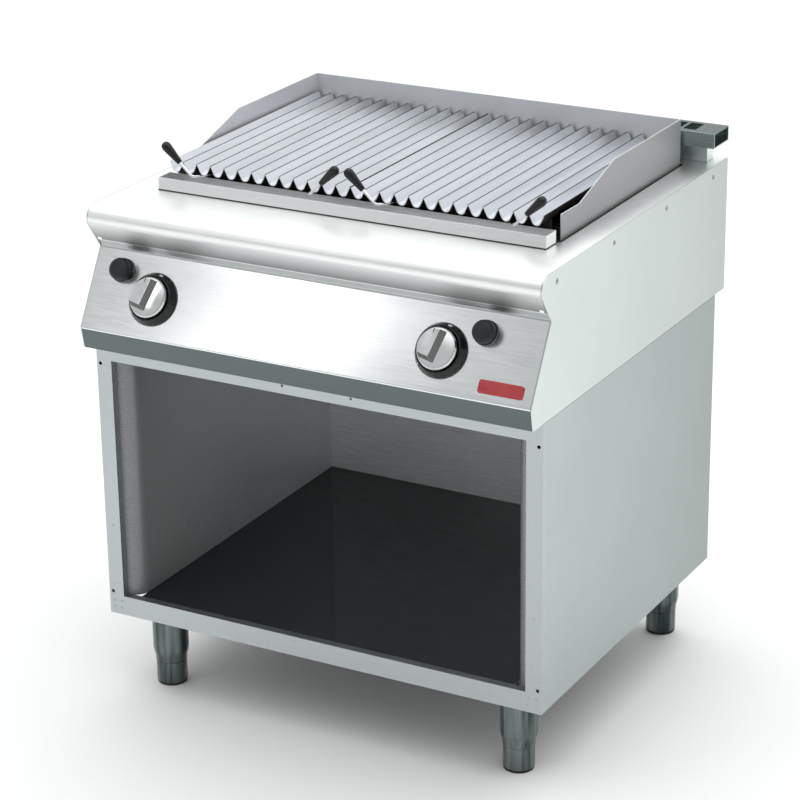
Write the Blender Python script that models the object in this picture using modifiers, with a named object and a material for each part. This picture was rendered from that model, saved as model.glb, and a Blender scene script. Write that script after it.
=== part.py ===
"""Gas charbroiler grill on an open cabinet, built as an assembly of separate pieces.

Units are metres, +Z is up, +X is to the operator's right and -Y is the operator's side.
The origin is on the floor, under the middle of the appliance's box.
"""

import math

import bmesh
import bpy
from mathutils import Vector

# ---- driving dimensions -------------------------------------------------------------
HALF_WIDTH = 0.400
FRONT = -0.365
REAR = 0.365
WORKTOP_Z = 0.850
CABINET_TOP = 0.622
CABINET_BOTTOM = 0.140
SHEET = 0.002
GAP = 0.0003

# Front frame of the open cabinet
FRAME_FRONT = -0.325
FRAME_DEPTH = 0.014
STILE = 0.028
RAIL_BOTTOM = 0.034
RAIL_TOP = 0.030
CABINET_REAR = 0.330
LINER_X = 0.346
LINER_REAR = 0.318

RAIL_HOLE_XS = (-0.051, 0.072)
RAIL_HOLE_Z = 0.605

# Upper body: rounded nosing, neck, sloping control panel and its lip
NOSING_FRONT = -0.332
NOSING_RADIUS = 0.018
NOSING_TIP_Z = 0.822
NECK = (-0.299, 0.775)
PANEL_EDGE = (FRONT, 0.658)
LIP = (-0.358, 0.622)
LIP_RETURN = 0.017

# Firebox under the cooking surface
OPENING_X = 0.350
OPENING_FRONT = -0.170
OPENING_REAR = 0.302
FIREBOX_X = 0.328
FIREBOX_FRONT = -0.144
FIREBOX_REAR = 0.268
FIREBOX_FLOOR = 0.700
LEDGE_Z = WORKTOP_Z - SHEET - GAP
MANIFOLD_END_X = 0.375
MANIFOLD_DEPTH = 0.0680
INLET_END = 0.3679
LEDGE_FRONT = -0.172
LEDGE_REAR = 0.3043
BURNER_Z = 0.790
BURNER_SPREAD = 0.165
NOZZLE_RADIUS = 0.0075
ELECTRODE_ASIDE = -0.030

# Grates of V-shaped bars
BAR_PITCH = 0.0256
BAR_COUNT = 13
BAR_WIDTH = 0.0240
BAR_DEPTH = 0.016
BAR_SHEET = 0.0015
BAR_FRONT = -0.182
BAR_REAR = 0.288
BAR_BOTTOM_FRONT = 0.8775
BAR_FALL = 0.002
GRATE_LEFT_X = -0.3375
GRATE_SPACE = 0.0015
CROSS_BAR = 0.004
CROSS_BAR_YS = (-0.152, 0.276)

# Lifting handles: elbow positions along X, with the side each grip leans to
HANDLES_LEFT = ((-0.291, -1), (-0.074, 1))
HANDLES_RIGHT = ((0.045, -1), (0.283, 1))
HANDLE_WIRE = 0.0022
HANDLE_ELBOW_Y = -0.190
HANDLE_Z = 0.8742

# Splash guard
GUARD_X = 0.344
GUARD_FRONT = -0.152
GUARD_REAR = 0.296
GUARD_LOW_Z = 0.890
GUARD_TOP_Z = 0.926

# Grease trough
TROUGH_X = 0.345
TROUGH_FRONT = -0.206
TROUGH_REAR = -0.172
TROUGH_TOP = 0.871

# Flue
FLUE_LEFT = -0.380
FLUE_FRONT = 0.304
FLUE_BOTTOM = 0.880
FLUE_TOP = 0.905
RISER_X = 0.380
RISER_FRONT = 0.324
RISER_REAR = 0.350
SLOT_PITCH = 0.028
SLOT_COUNT = 26
SLOT_HALF = 0.011
SLOT_FRONT = 0.316
SLOT_REAR = 0.353

# Controls, placed on the sloping panel by x and by distance down from the neck
KNOB_X = (-0.278, 0.235)
KNOB_DOWN = 0.0705
IGNITER_X = (-0.343, 0.303)
IGNITER_DOWN = 0.0335
KNOB_RADIUS = 0.033
BEZEL_RADIUS = 0.043
SPINDLE_RADIUS = 0.004
SPINDLE_SIDES = 16

# Legs
LEG_X = 0.328
LEG_FRONT = -0.258
LEG_REAR = 0.2975
LEG_RADIUS = 0.030
FOOT_RADIUS = 0.026
FOOT_TOP = 0.0427

PANEL_RUN = Vector((0.0, PANEL_EDGE[0] - NECK[0], PANEL_EDGE[1] - NECK[1])).normalized()
PANEL_NORMAL = Vector((0.0, PANEL_RUN.z, -PANEL_RUN.y))
PANEL_TILT = math.atan2(-PANEL_RUN.z, -PANEL_RUN.y)

STEEL = ("stainless", (0.72, 0.74, 0.74), 0.28, 1.0)
PAINT = ("satin_steel", (0.66, 0.69, 0.69), 0.38, 0.9)
LINER = ("dark_liner", (0.10, 0.11, 0.11), 0.12, 0.6)
BURNT = ("burnt_steel", (0.09, 0.09, 0.09), 0.6, 0.7)
BLACK = ("black_plastic", (0.015, 0.018, 0.02), 0.35, 0.0)
CHROME = ("chrome", (0.85, 0.86, 0.87), 0.08, 1.0)
BRASS = ("brass", (0.70, 0.53, 0.26), 0.3, 1.0)
CERAMIC = ("ceramic", (0.85, 0.83, 0.78), 0.3, 0.0)
RED = ("red_badge", (0.55, 0.03, 0.04), 0.3, 0.0)
GUARD_STEEL = ("guard_steel", (0.42, 0.42, 0.43), 0.4, 0.8)
BAR = ("bar_steel", (0.62, 0.64, 0.68), 0.35, 0.9)


# ---- helpers ------------------------------------------------------------------------
def clear_scene():
    for item in list(bpy.data.objects):
        bpy.data.objects.remove(item, do_unlink=True)


def collection(name):
    made = bpy.data.collections.new(name)
    bpy.context.scene.collection.children.link(made)
    return made


def material(name, look):
    """One Principled material for each piece, in the family's colour."""
    family, colour, roughness, metallic = look
    made = bpy.data.materials.new(f"{name}_{family}")
    made.use_nodes = True
    shader = made.node_tree.nodes["Principled BSDF"]
    shader.inputs["Base Color"].default_value = (*colour, 1.0)
    shader.inputs["Roughness"].default_value = roughness
    shader.inputs["Metallic"].default_value = metallic
    return made


def add(name, data, look=None):
    """Links a piece to the model's collection, or a cutter if it has no look."""
    item = bpy.data.objects.new(name, data)
    if look is None:
        CUTTERS.objects.link(item)
        item.hide_render = True
        item.display_type = "WIRE"
    else:
        PARTS.objects.link(item)
        data.materials.append(material(name, look))
    return item


def mesh_from(bm, name):
    made = bpy.data.meshes.new(name)
    bm.to_mesh(made)
    bm.free()
    return made


def add_box(bm, low, high):
    """A closed box between two corners, added to bm."""
    low, high = Vector(low), Vector(high)
    corners = bmesh.ops.create_cube(bm, size=1.0)["verts"]
    for corner in corners:
        corner.co = Vector(
            [(low[i] + high[i]) / 2 + corner.co[i] * (high[i] - low[i]) for i in range(3)]
        )


def boxes(name, spans, look=None):
    """One object made of separate closed boxes."""
    bm = bmesh.new()
    for low, high in spans:
        add_box(bm, low, high)
    return add(name, mesh_from(bm, name), look)


def cylinders(name, placements, sides=16, look=None):
    """Closed cylinders. Each placement is (centre, direction, radius, length)."""
    bm = bmesh.new()
    for centre, direction, radius, length in placements:
        turn = Vector(direction).to_track_quat("Z", "Y")
        made = bmesh.ops.create_cone(
            bm, cap_ends=True, segments=sides, radius1=radius, radius2=radius, depth=length
        )
        for vertex in made["verts"]:
            vertex.co = turn @ vertex.co + Vector(centre)
    return add(name, mesh_from(bm, name), look)


def place(axis, a, b, along):
    """A profile's point (a, b) at a distance along the extrusion axis."""
    if axis == "X":
        return (along, a, b)
    if axis == "Y":
        return (a, along, b)
    return (a, b, along)


def sheet(name, profile, axis, start, end, look, thickness=SHEET, closed=False):
    """A folded sheet: a profile drawn out along an axis, thickened to its right-hand side.

    Profiles are (y, z) along X, (x, z) along Y and (x, y) along Z. Walking along the
    profile, the outer surface is on the left.
    """
    first, last = (end, start) if axis == "Y" else (start, end)
    bm = bmesh.new()
    rows = []
    for a, b in profile:
        rows.append([bm.verts.new(place(axis, a, b, along)) for along in (first, last)])
    pairs = list(zip(rows, rows[1:]))
    if closed:
        pairs.append((rows[-1], rows[0]))
    for here, after in pairs:
        bm.faces.new((here[0], here[1], after[1], after[0]))
    item = add(name, mesh_from(bm, name), look)
    thicken(item, thickness)
    return item


def thicken(item, thickness):
    skin = item.modifiers.new("thickness", "SOLIDIFY")
    skin.thickness = thickness
    skin.offset = -1.0
    skin.use_even_offset = True


def plate(name, outline, centre_x, thickness, look):
    """A flat plate square to X with an outline in (y, z)."""
    curve = bpy.data.curves.new(name, "CURVE")
    curve.dimensions = "2D"
    curve.fill_mode = "BOTH"
    curve.extrude = thickness / 2
    spline = curve.splines.new("POLY")
    spline.points.add(len(outline) - 1)
    for point, (a, b) in zip(spline.points, outline):
        point.co = (a, b, 0.0, 1.0)
    spline.use_cyclic_u = True
    item = add(name, curve, look)
    item.rotation_euler = (math.pi / 2, 0.0, math.pi / 2)
    item.location = (centre_x, 0.0, 0.0)
    return item


def turned(name, profile, look, steps=32, ring=False):
    """A turned piece from (radius, height) points, top to bottom down its outer side."""
    bm = bmesh.new()
    points = [bm.verts.new((radius, 0.0, height)) for radius, height in profile]
    for here, after in zip(points, points[1:]):
        bm.edges.new((here, after))
    if ring:
        bm.edges.new((points[-1], points[0]))
    item = add(name, mesh_from(bm, name), look)
    spin = item.modifiers.new("turn", "SCREW")
    spin.steps = steps
    spin.render_steps = steps
    spin.use_merge_vertices = True
    spin.merge_threshold = 0.00001
    return item


def tube(name, points, radius, look, resolution=2):
    """A round wire or pipe with capped ends."""
    curve = bpy.data.curves.new(name, "CURVE")
    curve.dimensions = "3D"
    curve.bevel_depth = radius
    curve.bevel_resolution = resolution
    curve.use_fill_caps = True
    spline = curve.splines.new("POLY")
    spline.points.add(len(points) - 1)
    for point, co in zip(spline.points, points):
        point.co = (*co, 1.0)
    return add(name, curve, look)


def rounded(points, radius, steps=4):
    """The points with each inner corner replaced by an arc-like fillet."""
    points = [Vector(p) for p in points]
    path = [points[0]]
    for before, corner, after in zip(points, points[1:], points[2:]):
        into = corner + (before - corner).normalized() * radius
        out = corner + (after - corner).normalized() * radius
        for step in range(steps + 1):
            t = step / steps
            path.append(into * (1 - t) ** 2 + corner * 2 * t * (1 - t) + out * t**2)
    path.append(points[-1])
    return path


def arc(centre, radius, start, end, steps):
    """Points on an arc, in degrees, both ends included."""
    angles = [math.radians(start + (end - start) * i / steps) for i in range(steps + 1)]
    return [(centre[0] + radius * math.cos(a), centre[1] + radius * math.sin(a)) for a in angles]


def boolean(item, other, operation="DIFFERENCE"):
    step = item.modifiers.new(f"{operation.lower()}_{other.name}", "BOOLEAN")
    step.operation = operation
    step.object = other
    step.solver = "EXACT"


def as_mesh(item):
    """The same piece as a mesh object, with its curve or modifiers done and its caps joined."""
    bpy.context.view_layer.update()
    depsgraph = bpy.context.evaluated_depsgraph_get()
    made = bpy.data.meshes.new_from_object(item.evaluated_get(depsgraph), depsgraph=depsgraph)
    bm = bmesh.new()
    bm.from_mesh(made)
    bmesh.ops.remove_doubles(bm, verts=bm.verts, dist=0.000001)
    bm.to_mesh(made)
    bm.free()
    name, home, matrix = item.name, item.users_collection[0], item.matrix_world.copy()
    is_cutter = item.hide_render
    bpy.data.objects.remove(item, do_unlink=True)
    solid = bpy.data.objects.new(name, made)
    home.objects.link(solid)
    solid.matrix_world = matrix
    solid.hide_render = is_cutter
    solid.display_type = "WIRE" if is_cutter else "TEXTURED"
    return solid


def on_panel(item, x, down, out=0.0):
    """Stands a piece on the sloping panel, its +Z along the panel's outward normal."""
    item.rotation_euler = (PANEL_TILT, 0.0, 0.0)
    item.location = panel_point(x, down, out)
    return item


def panel_point(x, down, out):
    neck = Vector((x, NECK[0], NECK[1]))
    return neck + PANEL_RUN * down + PANEL_NORMAL * out


def smooth(item):
    """Smooth shading on a round piece, with its real edges kept sharp."""
    item.data.shade_smooth()
    item.data.set_sharp_from_angle(angle=math.radians(35))


# ---- cabinet ------------------------------------------------------------------------
def front_frame():
    """Welded front frame: a window with stiles and rails, hollow and open to the back."""
    back = FRAME_FRONT + FRAME_DEPTH
    inner = HALF_WIDTH - STILE
    low, high = CABINET_BOTTOM, CABINET_TOP - GAP
    sill, head = low + RAIL_BOTTOM, high - RAIL_TOP
    skin = SHEET
    frame = boxes("front_frame", [((-HALF_WIDTH, FRAME_FRONT, low), (HALF_WIDTH, back, high))], STEEL)
    window = [((-inner, FRAME_FRONT - 0.01, sill), (inner, back + 0.01, head))]
    hollow = boxes("frame_hollow", [
        ((skin - HALF_WIDTH, FRAME_FRONT + skin, low + skin), (HALF_WIDTH - skin, back + 0.01, high - skin))
    ])
    lining = [((-inner - skin, FRAME_FRONT, sill - skin), (inner + skin, back + 0.02, head + skin))]
    boolean(hollow, boxes("frame_lining", lining))
    boolean(frame, hollow)
    boolean(frame, boxes("frame_window", window))
    holes = []
    for x in (STILE / 4 - HALF_WIDTH, HALF_WIDTH - STILE / 4):
        for z in (low + 0.040, high - 0.037):
            holes.append(((x, FRAME_FRONT, z), (0, 1, 0), 0.003, 0.01))
    for x in RAIL_HOLE_XS:
        holes.append(((x, FRAME_FRONT, RAIL_HOLE_Z), (0, 1, 0), 0.0022, 0.01))
    boolean(frame, cylinders("frame_holes", holes, sides=12))


def cabinet_shell():
    """Outer side panels, raised floor pan, and the ceiling under the firebox."""
    front = FRAME_FRONT + FRAME_DEPTH + GAP
    rear = CABINET_REAR - SHEET - GAP
    top = CABINET_TOP - GAP
    fold = 0.015
    for side, sign in (("left", -1), ("right", 1)):
        outer = sign * HALF_WIDTH
        folded = sign * (HALF_WIDTH - fold)
        profile = ((folded, rear), (outer, rear), (outer, front), (folded, front))
        if sign < 0:
            profile = profile[::-1]
        sheet(f"cabinet_side_{side}", profile, "Z", CABINET_BOTTOM, top, PAINT)
    floor_top = CABINET_BOTTOM + RAIL_BOTTOM
    half = LINER_X - GAP
    low = CABINET_BOTTOM + SHEET
    profile = ((front, low), (front, floor_top), (LINER_REAR - GAP, floor_top))
    sheet("cabinet_floor", profile, "X", -half, half, LINER)
    half = HALF_WIDTH - SHEET - GAP
    low = CABINET_TOP + GAP
    front = LIP[0] + LIP_RETURN + GAP
    boxes("cabinet_ceiling", [((-half, front, low), (half, rear, low + SHEET))], PAINT)


def cabinet_liner():
    """Dark inner wall folded round three sides; it rolls forward to meet each stile."""
    front = FRAME_FRONT + FRAME_DEPTH + GAP
    roll = HALF_WIDTH - STILE - LINER_X
    tuck = HALF_WIDTH - 0.0155
    curve = arc((-(LINER_X + roll), front + roll), roll, 270, 360, 6)
    left = [(-tuck, front)] + curve + [(-LINER_X, LINER_REAR)]
    right = [(-a, b) for a, b in left][::-1]
    low = CABINET_BOTTOM + RAIL_BOTTOM - SHEET
    sheet("cabinet_liner", (left + right)[::-1], "Z", low, CABINET_TOP - 0.006, LINER)


def manifold_line():
    """Y and Z of the gas manifold, which runs level behind the control panel."""
    return panel_point(0.0, KNOB_DOWN, -MANIFOLD_DEPTH).yz


def back_panel():
    """One folded sheet: cabinet back, a step out over it, and the upper back."""
    half = HALF_WIDTH - SHEET - GAP
    low, step = CABINET_BOTTOM + SHEET, CABINET_TOP
    profile = ((CABINET_REAR, low), (CABINET_REAR, step), (REAR, step), (REAR, WORKTOP_Z - GAP))
    back = sheet("back_panel", profile[::-1], "X", -half, half, PAINT)
    inlet = (MANIFOLD_END_X, REAR, manifold_line()[1])
    hole = [(inlet, (0, 1, 0), 0.0125, 0.02)]
    boolean(back, cylinders("inlet_hole", hole, sides=20))


# ---- upper body ---------------------------------------------------------------------
def nosing_outline():
    """The rounded front edge, from its tip up and over to the flat worktop."""
    centre = (NOSING_FRONT + NOSING_RADIUS, WORKTOP_Z - NOSING_RADIUS)
    return [(NOSING_FRONT, NOSING_TIP_Z)] + arc(centre, NOSING_RADIUS, 180, 90, 6)


def under_nosing(share, inset):
    """A point between the nosing's tip and the neck, set in from that face."""
    tip = Vector((NOSING_FRONT, NOSING_TIP_Z))
    run = Vector(NECK) - tip
    inward = Vector((-run.y, run.x)).normalized()
    return tuple(tip + run * share + inward * inset)


def upper_sides():
    outline = [(REAR, WORKTOP_Z), (REAR, CABINET_TOP), LIP, PANEL_EDGE, NECK]
    outline += nosing_outline()
    for side, sign in (("left", -1), ("right", 1)):
        centre_x = sign * (HALF_WIDTH - SHEET / 2)
        plate(f"upper_side_{side}", outline, centre_x, SHEET, PAINT)


def worktop():
    """Top sheet with its rolled nosing, cut out for the firebox and the flue."""
    half = HALF_WIDTH - SHEET - GAP
    profile = [under_nosing(0.68, 0.0)] + nosing_outline() + [(REAR - SHEET - GAP, WORKTOP_Z)]
    item = sheet("worktop", profile, "X", -half, half, STEEL)
    low, high = WORKTOP_Z - 0.01, WORKTOP_Z + 0.01
    openings = [
        ((-OPENING_X, OPENING_FRONT, low), (OPENING_X, OPENING_REAR, high)),
        ((-0.316, 0.3265, low), (0.316, 0.3475, high)),
    ]
    boolean(item, boxes("worktop_openings", openings))


def control_panel():
    """Sloping front with a hidden top fold, a lip, and holes for the controls."""
    half = HALF_WIDTH - SHEET - GAP
    recess = 0.0026
    shoulder = panel_point(0.0, -recess, 0.0)
    profile = [
        (LIP[0] + LIP_RETURN, LIP[1]), LIP, PANEL_EDGE,
        (shoulder.y, shoulder.z), under_nosing(0.5, recess),
    ]
    item = sheet("control_panel", profile, "X", -half, half, STEEL)
    holes = [(panel_point(x, KNOB_DOWN, 0), PANEL_NORMAL, 0.0125, 0.012) for x in KNOB_X]
    holes += [(panel_point(x, IGNITER_DOWN, 0), PANEL_NORMAL, 0.0065, 0.012) for x in IGNITER_X]
    boolean(item, cylinders("panel_holes", holes, sides=20))


# ---- firebox ------------------------------------------------------------------------
def firebox():
    """A folded trough with ledges under the worktop's edge, closed by a front and a rear wall."""
    low, high = FIREBOX_FLOOR, LEDGE_Z
    across = FIREBOX_X - GAP
    edge = OPENING_X + SHEET
    half = ((FIREBOX_X, low), (FIREBOX_X, high), (edge, high))
    profile = [(-a, b) for a, b in half][::-1] + list(half)
    shell = sheet("firebox_shell", profile, "Y", LEDGE_FRONT, LEDGE_REAR, BURNT)
    slots = []
    for x in KNOB_X:
        middle = x - math.copysign(BURNER_SPREAD / 2, x)
        for y in (-0.05, 0.06, 0.17):
            slots.append(((middle - 0.05, y - 0.01, low - 0.01), (middle + 0.05, y + 0.01, low + 0.01)))
    boolean(shell, boxes("air_slots", slots))
    bottom = low + GAP
    profile = ((LEDGE_FRONT, high), (FIREBOX_FRONT, high), (FIREBOX_FRONT, bottom))
    front = sheet("firebox_front", profile, "X", -across, across, BURNT)
    holes = []
    for x in KNOB_X:
        holes.append(((x, FIREBOX_FRONT, BURNER_Z), (0, 1, 0), NOZZLE_RADIUS + 0.001, 0.02))
        side = x + ELECTRODE_ASIDE
        holes.append(((side, FIREBOX_FRONT, BURNER_Z + 0.015), (0, 1, 0), 0.0045, 0.02))
    boolean(front, cylinders("firebox_front_holes", holes, sides=12))
    profile = ((FIREBOX_REAR, bottom), (FIREBOX_REAR, high), (LEDGE_REAR, high))
    rear = sheet("firebox_rear", profile, "X", -across, across, BURNT)
    slot = ((-0.300, FIREBOX_REAR - 0.01, 0.800), (0.300, FIREBOX_REAR + 0.01, 0.838))
    boolean(rear, boxes("exhaust_slot", [slot]))
    x, skirt = 0.010, high - 0.020
    profile = ((-x, skirt), (-x, high), (x, high), (x, skirt))
    sheet("rack_support", profile, "Y", FIREBOX_FRONT + GAP, FIREBOX_REAR - GAP, BURNT)


def heat_racks():
    """Ribbed black racks between the burners and the bars, one to each burner."""
    low = LEDGE_Z + GAP
    rib = 0.010
    y0, y1 = -0.1455, 0.2735
    count = 30
    pitch = (y1 - y0) / count
    for side, x0, x1 in (("left", -0.340, -0.0008), ("right", 0.0008, 0.340)):
        profile = []
        for i in range(count):
            y = y0 + i * pitch
            profile += [(y, low + SHEET), (y + pitch * 0.4, low + SHEET)]
            profile += [(y + pitch * 0.5, low + rib), (y + pitch * 0.9, low + rib)]
        sheet(f"heat_rack_{side}", profile, "X", x0, x1, BURNT)


def burners():
    """A U-shaped tube burner for each half of the firebox."""
    for side, x in zip(("left", "right"), KNOB_X):
        far = x - math.copysign(BURNER_SPREAD, x)
        corners = [(x, -0.135, BURNER_Z), (x, 0.225, BURNER_Z), (far, 0.225, BURNER_Z), (far, -0.110, BURNER_Z)]
        tube(f"burner_{side}", rounded(corners, 0.045, 5), 0.0125, STEEL, resolution=3)


# ---- flue ---------------------------------------------------------------------------
def flue():
    """Duct behind the firebox, riser on the worktop, and the cap with its slotted grille."""
    x0, x1, y0, y1, z0, z1 = -0.318, 0.318, FIREBOX_REAR + SHEET + GAP, 0.3535, 0.780, 0.8452
    bm = bmesh.new()
    add_box(bm, (x0, y0, z0), (x1, y1, z1))
    bmesh.ops.delete(bm, geom=[f for f in bm.faces if f.normal.y < -0.5], context="FACES_ONLY")
    duct = add("flue_duct", mesh_from(bm, "flue_duct"), BURNT)
    thicken(duct, SHEET)
    top_hole = ((-0.312, 0.3265, z1 - 0.01), (0.312, 0.3475, z1 + 0.01))
    boolean(duct, boxes("duct_opening", [top_hole]))
    corners = (
        (-RISER_X, RISER_FRONT), (RISER_X, RISER_FRONT), (RISER_X, RISER_REAR), (-RISER_X, RISER_REAR)
    )
    low, high = WORKTOP_Z + GAP, FLUE_BOTTOM - GAP
    sheet("flue_riser", corners[::-1], "Z", low, high, STEEL, closed=True)
    corners = (
        (REAR, FLUE_TOP), (REAR, FLUE_BOTTOM), (FLUE_FRONT, FLUE_BOTTOM), (FLUE_FRONT, FLUE_TOP)
    )
    cap = sheet("flue_cap", corners, "X", FLUE_LEFT, HALF_WIDTH, STEEL)
    bottom_hole = ((-0.370, 0.328, FLUE_BOTTOM - 0.01), (0.370, 0.346, FLUE_BOTTOM + 0.01))
    boolean(cap, boxes("cap_opening", [bottom_hole]))
    low = (FLUE_LEFT, FLUE_FRONT + SHEET + GAP, FLUE_TOP - SHEET)
    high = (HALF_WIDTH, REAR - SHEET - GAP, FLUE_TOP)
    grille = boxes("flue_grille", [(low, high)], STEEL)
    slots = []
    for i in range(SLOT_COUNT):
        x = (i - (SLOT_COUNT - 1) / 2) * SLOT_PITCH
        slots.append(((x - SLOT_HALF, SLOT_FRONT, 0.0), (x + SLOT_HALF, SLOT_REAR, 1.0)))
    boolean(grille, boxes("flue_slots", slots))


# ---- gas train ----------------------------------------------------------------------
def gas_train():
    """Manifold, a tap for each burner, and the pipe and injector that feed it."""
    y, z = manifold_line()
    path = rounded([(-0.300, y, z), (MANIFOLD_END_X, y, z), (MANIFOLD_END_X, INLET_END, z)], 0.03)
    tube("gas_manifold", path, 0.010, BRASS, resolution=3)
    for side, x in zip(("left", "right"), KNOB_X):
        bm = bmesh.new()
        add_box(bm, (-0.018, -0.020, -0.057), (0.018, 0.020, -0.014))
        name = f"gas_tap_{side}"
        block = on_panel(add(name, mesh_from(bm, name), BRASS), x, KNOB_DOWN)
        bonnet = ((0, -0.0026), (0.011, -0.0026), (0.011, -0.020), (0, -0.020))
        boolean(block, on_panel(turned(f"{name}_bonnet", bonnet, None, 20), x, KNOB_DOWN), "UNION")
        radius = SPINDLE_RADIUS / math.cos(math.pi / SPINDLE_SIDES) + 0.0001
        bore = ((0, 0.005), (radius, 0.005), (radius, -0.0405), (0, -0.0405))
        bore = turned(f"{name}_bore", bore, None, SPINDLE_SIDES)
        boolean(block, on_panel(bore, x, KNOB_DOWN))
        start = panel_point(x, KNOB_DOWN - 0.018, -0.035)
        bend = panel_point(x, KNOB_DOWN - 0.060, -0.035)
        corners = [start, bend, (x, -0.235, BURNER_Z), (x, -0.165, BURNER_Z)]
        pipe = as_mesh(tube(f"{name}_pipe", rounded(corners, 0.015, 3), 0.005, None))
        nozzle = [((x, -0.153, BURNER_Z), (0, 1, 0), NOZZLE_RADIUS, 0.030)]
        boolean(pipe, cylinders(f"nozzle_{side}", nozzle, sides=12), "UNION")
        boolean(block, pipe, "UNION")


def electrodes():
    """Ceramic spark electrodes that reach through the firebox's front wall."""
    profile = ((0, 0.022), (0.0012, 0.022), (0.0012, 0), (0.004, 0), (0.004, -0.045), (0, -0.045))
    for side, x in zip(("left", "right"), KNOB_X):
        rod = turned(f"spark_electrode_{side}", profile, CERAMIC, 12)
        rod.rotation_euler = (-math.pi / 2, 0.0, 0.0)
        rod.location = (x + ELECTRODE_ASIDE, -0.128, BURNER_Z + 0.015)


# ---- controls -----------------------------------------------------------------------
def knobs():
    """Gas tap knobs on their spindles, each with a fixed bezel ring round it."""
    back, low, high = 0.0085, 0.0215, 0.0265
    bore = SPINDLE_RADIUS + 0.00005
    for side, x in zip(("left", "right"), KNOB_X):
        ring = (
            (0.0350, 0.0140), (0.0365, 0.0140), (BEZEL_RADIUS, 0.0030), (BEZEL_RADIUS, GAP),
            (0.0120, GAP), (0.0120, 0.0040), (0.0350, 0.0040),
        )
        smooth(on_panel(turned(f"knob_bezel_{side}", ring, BLACK, 48, ring=True), x, KNOB_DOWN))
        rod = ((0, 0.0165), (SPINDLE_RADIUS, 0.0165), (SPINDLE_RADIUS, -0.040), (0, -0.040))
        rod = turned(f"valve_spindle_{side}", rod, STEEL, SPINDLE_SIDES)
        smooth(on_panel(rod, x, KNOB_DOWN))
        profile = (
            (0, high), (KNOB_RADIUS - 0.0035, high), (KNOB_RADIUS - 0.0015, low + 0.001),
            (KNOB_RADIUS, low - 0.007), (KNOB_RADIUS, back), (bore, back), (bore, 0.0205), (0, 0.0205),
        )
        knob = on_panel(turned(f"knob_{side}", profile, CHROME, 48), x, KNOB_DOWN)
        smooth(knob)
        step = boxes(f"knob_step_{side}", [((0.001, -0.05, low), (0.05, 0.05, 0.05))])
        boolean(knob, on_panel(step, x, KNOB_DOWN))
        foot = boxes(f"knob_foot_{side}", [((-0.05, -0.05, low), (0.0012, -0.019, 0.05))])
        boolean(knob, on_panel(foot, x, KNOB_DOWN))


def igniters():
    """Piezo igniters: a housing clamped in the panel and the button that slides in it."""
    for side, x in zip(("left", "right"), IGNITER_X):
        housing = (
            (0, -0.030), (0.0045, -0.030), (0.0045, 0.0018), (0.0184, 0.0018), (0.0184, 0.0085),
            (0.0195, 0.0080), (0.0200, GAP), (0.0062, GAP), (0.0062, -0.0026), (0.0100, -0.0026),
            (0.0100, -0.050), (0, -0.050),
        )
        smooth(on_panel(turned(f"igniter_housing_{side}", housing, STEEL, 32), x, IGNITER_DOWN))
        button = (
            (0, 0.0235), (0.0120, 0.0230), (0.0160, 0.0215), (0.0178, 0.0190), (0.0181, 0.0058),
            (0.0040, 0.0058), (0.0040, -0.022), (0, -0.022),
        )
        smooth(on_panel(turned(f"igniter_button_{side}", button, BLACK, 32), x, IGNITER_DOWN))


def badge():
    """Plain red plate with rounded ends, low on the panel's right-hand side."""
    bm = bmesh.new()
    add_box(bm, (-0.0375, -0.0105, GAP), (0.0375, 0.0105, 0.0015))
    upright = [e for e in bm.edges if abs(e.verts[0].co.z - e.verts[1].co.z) > 0.001]
    bmesh.ops.bevel(bm, geom=upright, offset=0.004, segments=3, affect="EDGES", profile=0.5)
    on_panel(add("badge_plate", mesh_from(bm, "badge_plate"), RED), 0.345, 0.112)


# ---- cooking surface ----------------------------------------------------------------
def bar_profile():
    """Half-section of a V bar with a rounded bottom, from its right edge to its left."""
    radius = 0.0065
    reach = BAR_WIDTH / 2
    bottom = arc((0.0, radius), radius, -28, -152, 5)
    return [(reach, BAR_DEPTH)] + bottom + [(-reach, BAR_DEPTH)]


def grate(side, first_x):
    """Thirteen V bars side by side, welded on two cross bars into one grate."""
    bm = bmesh.new()
    rows = []
    for a, b in bar_profile():
        front = bm.verts.new((a, BAR_FRONT, BAR_BOTTOM_FRONT + b))
        rear = bm.verts.new((a, BAR_REAR, BAR_BOTTOM_FRONT + BAR_FALL + b))
        rows.append((rear, front))
    for here, after in zip(rows, rows[1:]):
        bm.faces.new((here[0], here[1], after[1], after[0]))
    bars = add(f"grate_{side}", mesh_from(bm, "bars"), BAR)
    bars.location.x = first_x + BAR_PITCH / 2
    thicken(bars, BAR_SHEET)
    repeat = bars.modifiers.new("repeat", "ARRAY")
    repeat.count = BAR_COUNT
    repeat.use_relative_offset = False
    repeat.use_constant_offset = True
    repeat.constant_offset_displace = (BAR_PITCH, 0.0, 0.0)
    weld = 0.001
    for end, y in zip(("front", "rear"), CROSS_BAR_YS):
        share = (y - BAR_FRONT) / (BAR_REAR - BAR_FRONT)
        top = BAR_BOTTOM_FRONT + BAR_FALL * share + weld
        low = (first_x + 0.003, y, LEDGE_Z + GAP)
        high = (first_x + BAR_COUNT * BAR_PITCH - 0.003, y + CROSS_BAR, top)
        boolean(bars, boxes(f"cross_bar_{side}_{end}", [(low, high)]), "UNION")


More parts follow.
